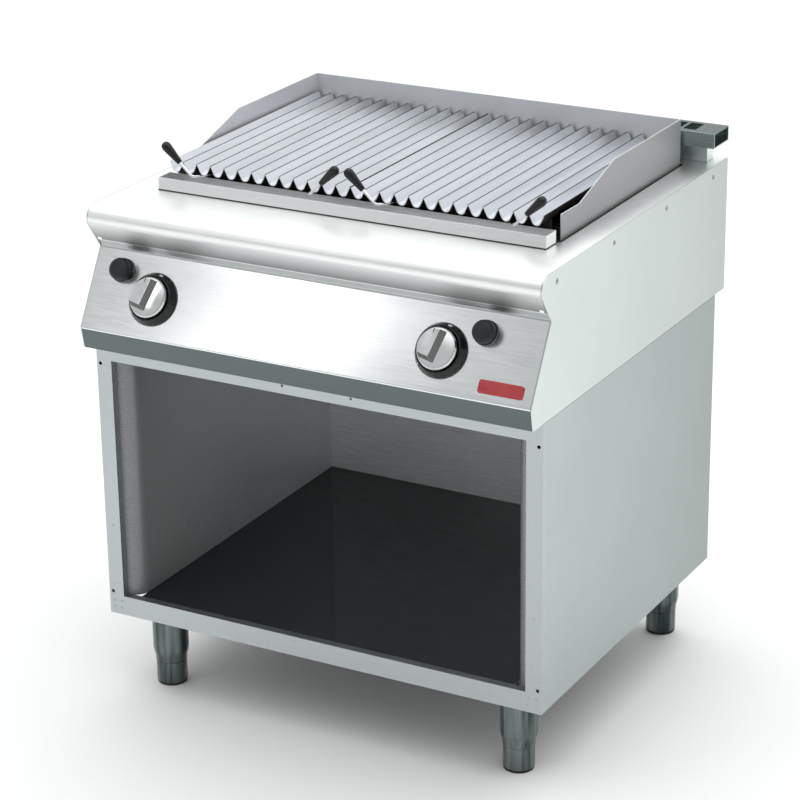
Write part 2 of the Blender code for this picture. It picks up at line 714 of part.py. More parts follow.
def handles(side, elbows):
    """Bent wire handles from the front cross bar, each with a pear-shaped grip."""
    lean = Vector((0.72, 0.0, 0.69)).normalized()
    for end, (x, sign) in zip(("outer", "inner") if side == "left" else ("inner", "outer"), elbows):
        elbow = Vector((x, HANDLE_ELBOW_Y, HANDLE_Z))
        out = Vector((sign * lean.x, 0.0, lean.z))
        weld = elbow + Vector((-sign * 0.030, 0.0355, 0.0))
        path = rounded([weld, elbow, elbow + out * 0.050], 0.007, 4)
        tube(f"handle_{side}_{end}", path, HANDLE_WIRE, STEEL)
        profile = (
            (0, 0.072), (0.0045, 0.0712), (0.0072, 0.0685), (0.0080, 0.0640), (0.0074, 0.0560),
            (0.0054, 0.0380), (0.0044, 0.0300), (0.0025, 0.0300), (0.0025, 0.0515), (0, 0.0515),
        )
        grip = turned(f"grip_{side}_{end}", profile, BLACK, 16)
        grip.rotation_euler = out.to_track_quat("Z", "Y").to_euler()
        grip.location = elbow
        smooth(grip)


def splash_guard():
    """Lift-off guard folded from one sheet: two stepped cheeks and a rear wall."""
    low = LEDGE_Z + GAP
    outline = (
        (GUARD_FRONT, low), (GUARD_REAR, low), (GUARD_REAR, GUARD_TOP_Z),
        (0.036, GUARD_TOP_Z), (-0.088, GUARD_LOW_Z - 0.001), (GUARD_FRONT, GUARD_LOW_Z),
    )
    span = ((-GUARD_X + 0.0005, GUARD_REAR - SHEET, low), (GUARD_X - 0.0005, GUARD_REAR, GUARD_TOP_Z))
    guard = boxes("splash_guard", [span], GUARD_STEEL)
    for side, sign in (("left", -1), ("right", 1)):
        cheek = plate(f"guard_cheek_{side}", outline, sign * (GUARD_X - SHEET / 2), SHEET, None)
        boolean(guard, as_mesh(cheek), "UNION")


def grease_trough():
    """Open-topped tray in front of the bars."""
    bm = bmesh.new()
    low = WORKTOP_Z + GAP
    add_box(bm, (-TROUGH_X, TROUGH_FRONT, low), (TROUGH_X, TROUGH_REAR, TROUGH_TOP))
    bmesh.ops.delete(bm, geom=[f for f in bm.faces if f.normal.z > 0.5], context="FACES_ONLY")
    thicken(add("grease_trough", mesh_from(bm, "grease_trough"), STEEL), 0.0015)


# ---- legs ---------------------------------------------------------------------------
def legs():
    """Fixed sleeves under the cabinet floor and feet that screw in and out of them."""
    corners = (
        ("front_left", -LEG_X, LEG_FRONT), ("front_right", LEG_X, LEG_FRONT),
        ("rear_left", -LEG_X, LEG_REAR), ("rear_right", LEG_X, LEG_REAR),
    )
    stem = 0.010
    bore = stem + GAP
    top = CABINET_BOTTOM + RAIL_BOTTOM - SHEET - GAP
    shoe = FOOT_RADIUS - GAP
    for name, x, y in corners:
        profile = (
            (0, top), (LEG_RADIUS, top), (LEG_RADIUS, 0.064), (0.0292, 0.060), (0.0268, 0.052),
            (FOOT_RADIUS, 0.049), (FOOT_RADIUS, FOOT_TOP + GAP), (bore, FOOT_TOP + GAP),
            (bore, 0.120), (0, 0.120),
        )
        sleeve = turned(f"leg_sleeve_{name}", profile, STEEL, 32)
        sleeve.location = (x, y, 0.0)
        smooth(sleeve)
        profile = (
            (0, 0.110), (stem, 0.110), (stem, FOOT_TOP), (shoe, FOOT_TOP),
            (shoe, 0.003), (shoe - 0.0022, 0.0), (0, 0.0),
        )
        foot = turned(f"foot_{name}", profile, STEEL, 32)
        foot.location = (x, y, 0.0)
        smooth(foot)


clear_scene()
PARTS = collection("charbroiler")
CUTTERS = collection("cutters")
front_frame()
cabinet_shell()
cabinet_liner()
back_panel()
upper_sides()
worktop()
control_panel()
firebox()
heat_racks()
burners()
flue()
gas_train()
electrodes()
knobs()
igniters()
badge()
grate("left", GRATE_LEFT_X)
grate("right", GRATE_LEFT_X + BAR_COUNT * BAR_PITCH + GRATE_SPACE)
handles("left", HANDLES_LEFT)
handles("right", HANDLES_RIGHT)
splash_guard()
grease_trough()
legs()
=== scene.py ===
"""Looks of a gas charbroiler grill on an open cabinet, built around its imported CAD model.

Everything is in metres in the CAD's frame: +Z up, -Y towards the operator, +X to their right.
"""
import math

import bmesh
import bpy
from mathutils import Matrix, Vector


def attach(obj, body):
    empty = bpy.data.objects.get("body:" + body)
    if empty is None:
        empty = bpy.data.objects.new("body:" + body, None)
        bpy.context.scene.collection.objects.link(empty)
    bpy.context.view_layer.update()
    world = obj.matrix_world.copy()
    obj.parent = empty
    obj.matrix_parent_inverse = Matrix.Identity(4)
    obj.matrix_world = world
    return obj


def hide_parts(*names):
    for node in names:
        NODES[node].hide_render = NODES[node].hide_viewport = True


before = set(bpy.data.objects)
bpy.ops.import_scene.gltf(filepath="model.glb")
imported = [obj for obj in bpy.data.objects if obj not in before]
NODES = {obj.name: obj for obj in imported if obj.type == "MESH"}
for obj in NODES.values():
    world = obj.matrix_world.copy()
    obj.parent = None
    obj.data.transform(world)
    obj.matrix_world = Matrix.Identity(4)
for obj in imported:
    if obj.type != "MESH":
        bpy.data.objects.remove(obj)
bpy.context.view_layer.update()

# ---- dimensions shared by the pieces ---------------------------------------------------
HALF = 0.400
SHEET = 0.002
GAP = 0.0003
REAR = 0.365
TOP = 0.850
CABINET_TOP = 0.622
NECK = (-0.299, 0.775)
PANEL_EDGE = (-0.365, 0.658)
LIP = (-0.358, 0.622)
LIP_RETURN = 0.017
NOSING_FRONT = -0.332
NOSING_TIP_Z = 0.822
OPENING = (0.350, -0.170, 0.302)
FLUE_SLOT = (0.316, 0.3265, 0.3475)
KNOBS = {"left": -0.278, "right": 0.235}
KNOB_DOWN = 0.0705
KNOB_SPIN = -13.0
IGNITERS = {"left": -0.343, "right": 0.303}
IGNITER_DOWN = 0.0335
BADGE_X, BADGE_DOWN = 0.345, 0.112
LEGS = {
    "front_left": (-0.328, -0.258), "front_right": (0.328, -0.258),
    "rear_left": (-0.328, 0.2975), "rear_right": (0.328, 0.2975),
}
BAR_PITCH = 0.0256
BAR_COUNT = 13
BAR_WIDTH = 0.0240
BAR_DEPTH = 0.016
BAR_Y = (-0.182, 0.288)
BAR_BOTTOM = 0.8775
BAR_FALL = 0.002
GRATES = {"left": -0.3375, "right": -0.3375 + BAR_COUNT * BAR_PITCH + 0.0015}
CROSS_BARS = (-0.152, 0.276)
LEDGE_TOP = 0.848
HANDLES = {
    "left_outer": (-0.291, -1), "left_inner": (-0.074, 1),
    "right_inner": (0.045, -1), "right_outer": (0.283, 1),
}
ELBOW_Y, ELBOW_Z = -0.190, 0.8742
GUARD_SIDE_X = 0.3425
SCREW_YS = (-0.281, -0.081, 0.116, 0.305)
SCREW_Z = 0.832
SEAM_SCREW_X = 0.3895
CAMERA_AT = (2.0368, -3.6941, 2.1249)
CAMERA_TURNS = ((29.139, "Z"), (68.666, "X"), (-0.815, "Z"))
SENSOR_WIDTH, LENS = 36.0, 122.96

RUN = Vector((0.0, PANEL_EDGE[0] - NECK[0], PANEL_EDGE[1] - NECK[1])).normalized()
NORMAL = Vector((0.0, RUN.z, -RUN.y))
PANEL_TURN = Matrix.Rotation(math.atan2(-RUN.z, -RUN.y), 4, "X")


# ---- materials ---------------------------------------------------------------------------
class Look:
    """A Principled material being put together node by node."""

    def __init__(self, name, colour, roughness, metallic=0.0, **sockets):
        self.material = bpy.data.materials.new(name)
        self.material.use_nodes = True
        self.tree = self.material.node_tree
        self.shader = self.tree.nodes["Principled BSDF"]
        self.shader.inputs["Base Color"].default_value = (*colour, 1.0)
        self.shader.inputs["Roughness"].default_value = roughness
        self.shader.inputs["Metallic"].default_value = metallic
        for socket, value in sockets.items():
            self.shader.inputs[socket.replace("_", " ")].default_value = value
        self.bump_out = None

    def node(self, kind, **inputs):
        """A new node with its inputs set or linked."""
        made = self.tree.nodes.new(kind)
        for socket, value in inputs.items():
            self.put(made.inputs[socket.replace("_", " ")], value)
        return made

    def put(self, socket, value):
        if isinstance(value, bpy.types.NodeSocket):
            self.tree.links.new(value, socket)
        else:
            socket.default_value = value

    def noise(self, scale, stretch=(1, 1, 1), detail=4.0, rough=0.55):
        """Noise in the piece's own space; stretch below 1 draws it out along that axis."""
        place = self.node("ShaderNodeTexCoord").outputs["Object"]
        mapping = self.node("ShaderNodeMapping", Vector=place, Scale=stretch)
        made = self.node("ShaderNodeTexNoise", Scale=scale, Detail=detail, Roughness=rough)
        self.tree.links.new(mapping.outputs[0], made.inputs["Vector"])
        return made.outputs["Fac"]

    def spread(self, value, low, high, start=0.3, end=0.7):
        """A value from about start to end, mapped to low to high."""
        made = self.node("ShaderNodeMapRange", Value=value)
        for socket, number in (("From Min", start), ("From Max", end), ("To Min", low), ("To Max", high)):
            made.inputs[socket].default_value = number
        return made.outputs[0]

    def along(self, axis, start, end):
        """0 to 1 along one axis of the piece's own space."""
        place = self.node("ShaderNodeTexCoord").outputs["Object"]
        split = self.node("ShaderNodeSeparateXYZ", Vector=place)
        return self.spread(split.outputs["XYZ".index(axis)], 0.0, 1.0, start, end)

    def mix(self, share, a, b):
        """Colour a where share is 0 and colour b where it is 1."""
        made = self.tree.nodes.new("ShaderNodeMix")
        made.data_type = "RGBA"
        self.put(made.inputs["Factor"], share)
        self.put(made.inputs["A"], a if isinstance(a, bpy.types.NodeSocket) else (*a, 1.0))
        self.put(made.inputs["B"], b if isinstance(b, bpy.types.NodeSocket) else (*b, 1.0))
        return made.outputs["Result"]

    def product(self, a, b):
        made = self.tree.nodes.new("ShaderNodeMath")
        made.operation = "MULTIPLY"
        self.put(made.inputs[0], a)
        self.put(made.inputs[1], b)
        return made.outputs[0]

    def multiply_colour(self, colour, share):
        made = self.tree.nodes.new("ShaderNodeVectorMath")
        made.operation = "SCALE"
        self.put(made.inputs[0], colour)
        made.inputs["Scale"].default_value = share
        return made.outputs[0]

    def colour(self, value):
        self.put(self.shader.inputs["Base Color"], value)

    def roughness(self, value):
        self.put(self.shader.inputs["Roughness"], value)

    def bump(self, height, strength, distance=0.0003):
        made = self.node("ShaderNodeBump", Height=height, Strength=strength, Distance=distance)
        if self.bump_out is not None:
            self.put(made.inputs["Normal"], self.bump_out)
        self.bump_out = made.outputs[0]
        self.put(self.shader.inputs["Normal"], self.bump_out)


def shade(colour, factor):
    """A colour made darker or lighter by a factor."""
    return tuple(min(1.0, channel * factor) for channel in colour)


def brushed(name, colour, roughness, stretch, grain=0.03, clouds=0.05, metallic=1.0, painted_shade=None):
    """Brushed steel: fine lines along one axis, in roughness and bump, and faint clouding.

    The last argument, (axis, start, end, share), paints shade: the tone drops to that share between the two
    places.
    """
    look = Look(name, colour, roughness, metallic)
    lines = look.noise(900.0, stretch, detail=3.0, rough=0.6)
    cloud = look.noise(5.0, detail=3.0)
    look.roughness(look.spread(lines, roughness - 0.05, roughness + 0.08))
    tone = look.mix(look.spread(cloud, 0.0, 1.0), shade(colour, 1 - clouds), shade(colour, 1 + clouds))
    fine = look.mix(look.spread(lines, 0.0, 1.0), shade(colour, 0.97), shade(colour, 1.02))
    colour_out = look.mix(0.5, tone, fine)
    # Painted shade: the tone darkens along one axis, standing in for light falling off.
    if painted_shade:
        axis, start, end, share = painted_shade
        shaded_tone = look.multiply_colour(colour_out, share)
        colour_out = look.mix(look.along(axis, start, end), colour_out, shaded_tone)
    look.colour(colour_out)
    look.bump(lines, grain, 0.0001)
    return look.material


def leg_steel(name):
    """Steel tube with darker and lighter streaks along its length: painted reflection streaks."""
    look = Look(name, (0.20, 0.24, 0.24), 0.22, 1.0)
    streak = look.noise(70.0, (1.0, 1.0, 0.04), detail=3.0)
    fine = look.noise(900.0, (1.0, 1.0, 0.03), detail=2.0)
    share = look.spread(streak, 0.0, 1.0, 0.36, 0.64)
    # The streaks in the colour are painted reflections.
    look.colour(look.mix(share, (0.045, 0.060, 0.060), (0.24, 0.27, 0.27)))
    look.roughness(look.spread(fine, 0.18, 0.32))
    look.bump(fine, 0.03, 0.0001)
    return look.material


def glossy(name, colour, roughness, grain=0.03, coat=0.3):
    """Moulded black plastic: glossy, with a faint orange-peel skin and dull patches."""
    look = Look(name, colour, roughness, 0.0, Coat_Weight=coat, Coat_Roughness=0.08, Specular_IOR_Level=0.3)
    skin = look.noise(420.0, detail=2.0)
    patch = look.noise(60.0, detail=3.0)
    look.roughness(look.spread(patch, roughness - 0.05, roughness + 0.09))
    look.colour(look.mix(look.spread(patch, 0.0, 1.0), shade(colour, 0.85), shade(colour, 1.25)))
    look.bump(skin, grain, 0.0002)
    return look.material


def burnt(name, colour, roughness):
    """Sheet steel blackened by heat: soot patches, a few browned areas and a dry, gritty skin."""
    look = Look(name, colour, roughness, 0.6)
    patch = look.noise(14.0, detail=6.0)
    grit = look.noise(500.0, detail=4.0)
    brown = look.mix(look.spread(patch, 0.0, 1.0, 0.45, 0.7), colour, (0.075, 0.058, 0.045))
    look.colour(look.mix(look.spread(grit, 0.0, 0.5), brown, shade(colour, 0.5)))
    look.roughness(look.spread(patch, roughness - 0.12, roughness + 0.15))
    look.bump(grit, 0.25, 0.0003)
    return look.material


def bar_steel(name):
    """Pale blasted steel of the bars, with grease haze and soot towards their rear ends."""
    clean = (0.76, 0.78, 0.82)
    look = Look(name, clean, 0.42, 0.85)
    grit = look.noise(700.0, detail=3.0)
    streak = look.noise(60.0, (1.0, 0.05, 1.0), detail=4.0)
    patch = look.noise(26.0, (1.0, 0.35, 1.0), detail=5.0)
    haze = look.mix(look.spread(streak, 0.0, 1.0), shade(clean, 0.90), shade(clean, 1.04))
    rear = look.along("Y", 0.17, 0.31)
    soot = look.product(look.spread(patch, 0.0, 1.0, 0.42, 0.68), rear)
    look.colour(look.mix(soot, haze, (0.33, 0.33, 0.34)))
    look.roughness(look.spread(grit, 0.36, 0.52))
    look.bump(grit, 0.10, 0.0002)
    return look.material


def chrome(name, tone=0.91, roughness=0.12):
    """Polished chrome with faint turning marks and a trace of handling haze."""
    bright = (tone * 0.99, tone, tone * 1.01)
    look = Look(name, bright, roughness, 1.0)
    haze = look.noise(35.0, detail=4.0)
    look.roughness(look.spread(haze, roughness - 0.05, roughness + 0.06))
    look.colour(look.mix(look.spread(haze, 0.0, 1.0), shade(bright, 0.95), shade(bright, 1.03)))
    look.bump(look.noise(900.0, detail=2.0), 0.015, 0.0001)
    return look.material


def enamel(name):
    """Red enamel with a clear coat and a slight unevenness in its depth."""
    look = Look(name, (0.46, 0.035, 0.045), 0.32, 0.0, Coat_Weight=0.5, Coat_Roughness=0.12)
    cloud = look.noise(45.0, detail=3.0)
    look.colour(look.mix(look.spread(cloud, 0.0, 1.0), (0.36, 0.022, 0.029), (0.45, 0.038, 0.044)))
    look.roughness(look.spread(cloud, 0.26, 0.38))
    look.bump(look.noise(300.0, detail=2.0), 0.03, 0.0002)
    return look.material


def printed(name, colour):
    """Printed mark: matt ink, slightly uneven."""
    look = Look(name, colour, 0.5)
    fleck = look.noise(800.0, detail=2.0)
    look.colour(look.mix(look.spread(fleck, 0.0, 1.0), shade(colour, 0.9), colour))
    look.roughness(look.spread(fleck, 0.42, 0.58))
    return look.material


def brass(name):
    """Dull cast brass with darker stains."""
    look = Look(name, (0.66, 0.47, 0.22), 0.34, 1.0)
    cloud = look.noise(40.0, detail=4.0)
    look.colour(look.mix(look.spread(cloud, 0.0, 1.0), (0.50, 0.33, 0.15), (0.72, 0.54, 0.28)))
    look.roughness(look.spread(cloud, 0.26, 0.46))
    look.bump(look.noise(600.0, detail=3.0), 0.05, 0.0002)
    return look.material


def ceramic(name):
    """White glazed ceramic, browned in patches by the flame."""
    look = Look(name, (0.72, 0.70, 0.66), 0.3, 0.0, Coat_Weight=0.3, Coat_Roughness=0.1)
    scorch = look.noise(90.0, detail=4.0)
    look.colour(look.mix(look.spread(scorch, 0.0, 1.0, 0.50, 0.75), (0.74, 0.72, 0.68), (0.22, 0.16, 0.11)))
    look.roughness(look.spread(scorch, 0.22, 0.55))
    look.bump(look.noise(500.0, detail=2.0), 0.03, 0.0002)
    return look.material


def floor_paint(name):
    """Matt, nearly white floor with very faint clouding."""
    look = Look(name, (0.93, 0.93, 0.93), 0.7)
    cloud = look.noise(1.5, detail=2.0)
    look.colour(look.mix(look.spread(cloud, 0.0, 1.0), (0.925, 0.925, 0.925), (0.935, 0.935, 0.935)))
    return look.material


ALONG_X = (0.02, 1.0, 1.0)
ALONG_Z = (1.0, 1.0, 0.02)
# Painted shade gradient: darker towards the rear.
REAR_PAINTED_SHADE = ("Y", -0.36, 0.36)
TOP_STEEL = brushed("worktop_steel", (0.88, 0.895, 0.89), 0.36, ALONG_X)
PANEL_STEEL = brushed("panel_steel", (0.87, 0.89, 0.895), 0.19, ALONG_X)
# Painted shade: the nosing's steel darkens downwards over the rolled edge.
NOSING_SHADED_STEEL = brushed("nosing_painted_shade_steel", (0.84, 0.85, 0.85), 0.50, ALONG_X, painted_shade=("Z", 0.828, 0.794, 0.40))
# Painted shade: darker copies of the panel steel for the bend under the nosing and for the lip below the
# panel.
FOLD_SHADED_STEEL = brushed("fold_painted_shade_steel", (0.50, 0.515, 0.515), 0.40, ALONG_X)
LIP_SHADED_STEEL = brushed("lip_painted_shade_steel", (0.13, 0.155, 0.158), 0.30, ALONG_X)
# Painted shade: both side steels darken towards the rear, and the cabinet sides are a darker copy of the
# upper sides' steel, standing in for shade lower down.
UPPER_SHADED_STEEL = brushed("upper_side_painted_shade_steel", (0.66, 0.71, 0.69), 0.36, ALONG_Z, painted_shade=(*REAR_PAINTED_SHADE, 0.72))
SIDE_SHADED_STEEL = brushed("cabinet_side_painted_shade_steel", (0.46, 0.51, 0.50), 0.36, ALONG_Z, painted_shade=(*REAR_PAINTED_SHADE, 0.69))
# Painted shade: the front frame's steel is darkened to stand in for its shade.
FRAME_SHADED_STEEL = brushed("frame_painted_shade_steel", (0.46, 0.49, 0.50), 0.30, ALONG_X)
LEG_STEEL = leg_steel("leg_steel")
# Painted shade: the liner darkens towards the front opening, and the cabinet floor is near black, standing in
# for the shade inside the cabinet.
LINER_PAINTED_SHADE = ("Y", 0.25, -0.3, 0.28)
LINER_SHADED_STEEL = brushed("liner_painted_shade_steel", (0.80, 0.815, 0.83), 0.26, ALONG_X, metallic=0.15, painted_shade=LINER_PAINTED_SHADE)
FLOOR_SHADED_STEEL = brushed("cabinet_floor_painted_shade", (0.012, 0.013, 0.016), 0.06, ALONG_X, 0.005, metallic=0.0)
GUARD_STEEL = brushed("guard_steel", (0.72, 0.725, 0.755), 0.40, ALONG_X, 0.04, metallic=0.45)
# Painted shade: a darker copy of the guard's steel for the outer faces of its cheeks.
GUARD_OUTER_SHADED_STEEL = brushed("guard_outer_painted_shade_steel", (0.34, 0.34, 0.35), 0.40, ALONG_X, 0.04, metallic=0.45)
TROUGH_STEEL = brushed("trough_steel", (0.84, 0.845, 0.85), 0.30, ALONG_X)
FLUE_STEEL = brushed("flue_steel", (0.40, 0.48, 0.46), 0.26, ALONG_X)
RISER_STEEL = brushed("riser_steel", (0.70, 0.78, 0.76), 0.30, ALONG_X)
GRILLE_STEEL = brushed("grille_steel", (0.10, 0.125, 0.12), 0.26, ALONG_X)
PLAIN_STEEL = brushed("plain_steel", (0.78, 0.79, 0.79), 0.30, ALONG_X)
BACK_STEEL = brushed("back_steel", (0.50, 0.52, 0.52), 0.42, ALONG_Z)
BAR_STEEL = bar_steel("bar_steel")
CHROME = chrome("chrome_finish")
# Painted shade: darker copies of the chrome for the knob's skirt sides and for the wall and tail of its
# raised half; the wall copy is also the side screws' darker chrome.
RIM_SHADED_CHROME = chrome("rim_painted_shade_chrome", 0.62, 0.16)
WALL_SHADE_AND_SCREW_CHROME = chrome("wall_painted_shade_and_screw_chrome", 0.27, 0.18)
TAIL_SHADED_CHROME = chrome("tail_painted_shade_chrome", 0.12, 0.18)
COLLAR_STEEL = chrome("collar_steel", 0.10, 0.16)
WIRE_CHROME = chrome("wire_chrome")
SEAM_STEEL = chrome("seam_steel", 0.97, 0.35)
BLACK = glossy("black_plastic", (0.006, 0.007, 0.008), 0.20, coat=0.12)
BUTTON_BLACK = glossy("button_black", (0.012, 0.017, 0.019), 0.42, coat=0.05)
# Black of the leg pads, also used for the painted shadow strip under the trough.
PAD_AND_SHADOW_BLACK = glossy("pad_and_painted_shadow_black", (0.015, 0.015, 0.015), 0.5, coat=0.0)
BURNT = burnt("burnt_steel", (0.045, 0.045, 0.047), 0.55)
RACK_BLACK = burnt("rack_black", (0.016, 0.016, 0.018), 0.42)
# Painted shade: near black for the bars' top edges and undersides, standing in for the dark gaps between bars
# and the shade beneath them.
BAR_EDGE_SHADE = burnt("bar_edge_painted_shade", (0.012, 0.012, 0.013), 0.6)
BRASS = brass("gas_brass")
CERAMIC = ceramic("electrode_ceramic")
RED = enamel("red_enamel")
WHITE_INK = printed("white_ink", (0.85, 0.86, 0.86))
BLACK_INK = printed("black_ink", (0.02, 0.02, 0.02))


# ---- mesh helpers ------------------------------------------------------------------------
def piece(name, bm, material, body="cabinet", bevel=0.0, angle=32.0, segments=2):
    """Turns bm into a finished piece: bevelled edges, smooth where it is round, riding on body."""
    bmesh.ops.recalc_face_normals(bm, faces=bm.faces)
    data = bpy.data.meshes.new(name)
    bm.to_mesh(data)
    bm.free()
    item = bpy.data.objects.new(name, data)
    bpy.context.scene.collection.objects.link(item)
    for one in material if isinstance(material, (list, tuple)) else [material]:
        data.materials.append(one)
    if bevel:
        edge = item.modifiers.new("edges", "BEVEL")
        edge.width = bevel
        edge.segments = segments
        edge.limit_method = "ANGLE"
        edge.angle_limit = math.radians(angle)
        edge.harden_normals = True
        edge.use_clamp_overlap = True
    data.shade_smooth()
    data.set_sharp_from_angle(angle=math.radians(angle))
    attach(item, body)
    return item


def refined(node, material, body="cabinet", bevel=0.0005, segments=2, angle=32.0):
    """A CAD solid of the right shape, with flat faces made whole and its edges bevelled."""
    bm = bmesh.new()
    bm.from_mesh(NODES[node].data)
    bmesh.ops.remove_doubles(bm, verts=bm.verts, dist=0.00001)
    bmesh.ops.dissolve_limit(bm, angle_limit=math.radians(0.5), verts=bm.verts, edges=bm.edges)
    made = piece(f"{node}_sheet", bm, material, body, bevel, angle, segments)
    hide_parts(node)
    return made


def paint(material, *names):
    """Gives CAD nodes that stay in view their finish."""
    for name in names:
        slots = NODES[name].data.materials
        slots.clear()
        slots.append(material)


def strip(bm, profile, axis, start, end, thickness):
    """A folded sheet along an axis: the profile's outer surface is on the left, as one walks it."""
    def at(point, along):
        a, b = point
        return {"X": (along, a, b), "Y": (a, along, b), "Z": (a, b, along)}[axis]

    points = [Vector(p) for p in profile]
    inner = []
    for i, point in enumerate(points):
        before = (point - points[i - 1]).normalized() if i else None
        after = (points[i + 1] - point).normalized() if i + 1 < len(points) else None
        before = before or after
        after = after or before
        side = Vector((before.y, -before.x)) + Vector((after.y, -after.x))
        side.normalize()
        reach = thickness / max(0.3, side.dot(Vector((before.y, -before.x))))
        inner.append(point + side * reach)
    loop = points + inner[::-1]
    ends = [[bm.verts.new(at(p, along)) for p in loop] for along in (start, end)]
    count = len(loop)
    for i in range(count):
        j = (i + 1) % count
        bm.faces.new((ends[0][i], ends[0][j], ends[1][j], ends[1][i]))
    for row in ends:
        for i in range(len(points) - 1):
            bm.faces.new((row[i], row[i + 1], row[count - 2 - i], row[count - 1 - i]))


def lathe(bm, profile, steps=64, turn=None, ring=False):
    """Turned surface from (radius, height) points about +Z, then moved by the matrix turn."""
    turn = turn or Matrix.Identity(4)
    rows = []
    for radius, height in profile:
        if radius < 1e-7:
            rows.append([bm.verts.new(turn @ Vector((0, 0, height)))])
            continue
        row = []
        for i in range(steps):
            a = 2 * math.pi * i / steps
            row.append(bm.verts.new(turn @ Vector((radius * math.cos(a), radius * math.sin(a), height))))
        rows.append(row)
    pairs = list(zip(rows, rows[1:])) + ([(rows[-1], rows[0])] if ring else [])
    for a, b in pairs:
        for i in range(steps):
            j = (i + 1) % steps
            corners = [a[i % len(a)], a[j % len(a)], b[j % len(b)], b[i % len(b)]]
            unique = list(dict.fromkeys(corners))
            if len(unique) > 2:
                bm.faces.new(unique)


def block(bm, low, high, turn=None):
    """A box between two corners, as part of a larger shape, then moved by the matrix turn."""
    turn = turn or Matrix.Identity(4)
    corners = bmesh.ops.create_cube(bm, size=1.0)["verts"]
    for corner in corners:
        co = [(low[i] + high[i]) / 2 + corner.co[i] * (high[i] - low[i]) for i in range(3)]
        corner.co = turn @ Vector(co)


def arc(centre, radius, start, end, steps):
    """Points (a, b) on a circle, from the start angle to the end angle in degrees."""
    angles = [math.radians(start + (end - start) * i / steps) for i in range(steps + 1)]
    return [(centre[0] + radius * math.cos(a), centre[1] + radius * math.sin(a)) for a in angles]


def fillet(points, radii, steps=6):
    """The (a, b) points with each inner corner rounded to about its radius."""
    points = [Vector(p) for p in points]
    path = [points[0]]
    for before, corner, after, radius in zip(points, points[1:], points[2:], radii):
        into_dir = (before - corner).normalized()
        out_dir = (after - corner).normalized()
        half = into_dir.angle(out_dir) / 2
        reach = min(radius / math.tan(half), 0.45 * min((before - corner).length, (after - corner).length))
        into, out = corner + into_dir * reach, corner + out_dir * reach
        for step in range(steps + 1):
            t = step / steps
            path.append(into * (1 - t) ** 2 + corner * 2 * t * (1 - t) + out * t**2)
    path.append(points[-1])
    return [tuple(p) for p in path]


def cut(item, bm):
    """Cuts the closed shapes in bm out of a piece, ahead of its bevel."""
    bmesh.ops.recalc_face_normals(bm, faces=bm.faces)
    data = bpy.data.meshes.new("cutter")
    bm.to_mesh(data)
    bm.free()
    cutter = bpy.data.objects.new("cutter", data)
    bpy.context.scene.collection.objects.link(cutter)
    step = item.modifiers.new("cut", "BOOLEAN")
    step.operation = "DIFFERENCE"
    step.solver = "EXACT"
    step.object = cutter
    item.modifiers.move(len(item.modifiers) - 1, 0)
    held = [m for m in item.modifiers if m.type == "BEVEL"]
    for one in held:
        one.show_viewport = False
    bpy.context.view_layer.update()
    depsgraph = bpy.context.evaluated_depsgraph_get()
    made = bpy.data.meshes.new_from_object(item.evaluated_get(depsgraph), depsgraph=depsgraph)
    item.modifiers.remove(step)
    for one in held:
        one.show_viewport = True
    item.data = made
    bpy.data.objects.remove(cutter, do_unlink=True)
    made.shade_smooth()
    made.set_sharp_from_angle(angle=math.radians(32))


def on_panel(x, down, out=0.0, spin=0.0):
    """Matrix that stands a piece on the sloping panel, its +Z along the panel's normal."""
    origin = Vector((x, NECK[0], NECK[1])) + RUN * down + NORMAL * out
    return Matrix.Translation(origin) @ PANEL_TURN @ Matrix.Rotation(math.radians(spin), 4, "Z")


def rod(name, points, radius, material, body, corner=0.007, sides=20):
    """A bent round wire with rounded corners and domed ends."""
    path = [Vector(points[0])]
    for before, at, after in zip(points, points[1:], points[2:]):
        before, at, after = Vector(before), Vector(at), Vector(after)
        into = at + (before - at).normalized() * corner
        out = at + (after - at).normalized() * corner
        for step in range(9):
            t = step / 8
            path.append(into * (1 - t) ** 2 + at * 2 * t * (1 - t) + out * t**2)
    path.append(Vector(points[-1]))
    bm = bmesh.new()
    rows = []
    side = None
    for i, point in enumerate(path):
        ahead = path[min(i + 1, len(path) - 1)] - path[max(i - 1, 0)]
        ahead.normalize()
        if side is None:
            side = ahead.orthogonal().normalized()
        side = (side - ahead * side.dot(ahead)).normalized()
        other = ahead.cross(side)
        steps = [(0.0, 1.0)]
        if i == 0:
            steps = [(-0.8, 0.35), (-0.5, 0.8), (0.0, 1.0)]
        if i == len(path) - 1:
            steps = [(0.0, 1.0), (0.5, 0.8), (0.8, 0.35)]
        for shift, share in steps:
            row = []
            for k in range(sides):
                a = 2 * math.pi * k / sides
                spoke = side * math.cos(a) + other * math.sin(a)
                row.append(bm.verts.new(point + ahead * shift * radius + spoke * radius * share))
            rows.append(row)
    for a, b in zip(rows, rows[1:]):
        for k in range(sides):
            j = (k + 1) % sides
            bm.faces.new((a[k], a[j], b[j], b[k]))
    bm.faces.new(rows[0])
    bm.faces.new(rows[-1][::-1])
    return piece(name, bm, material, body, angle=60)


# ---- upper body --------------------------------------------------------------------------
def nosing():
    """The rolled front edge, from the neck up: slope, round tip, front and a crease on top."""
    tip = Vector((NOSING_FRONT, NOSING_TIP_Z))
    neck = Vector(NECK)
    crest = arc((NOSING_FRONT + 0.0192, TOP - 0.0212), 0.0192, 180, 100, 14)
    crease = (NOSING_FRONT + 0.0215, TOP)
    return fillet([neck, tip, crest[0]], [0.020], 8)[:-1] + crest + [crease]


def under_nosing(share, inset):
    """(y, z) of a point on the slope under the nosing: its share of the way, and its depth."""
    tip = Vector((NOSING_FRONT, NOSING_TIP_Z))
    run = Vector(NECK) - tip
    inward = Vector((-run.y, run.x)).normalized()
    return tuple(tip + run * share + inward * inset)


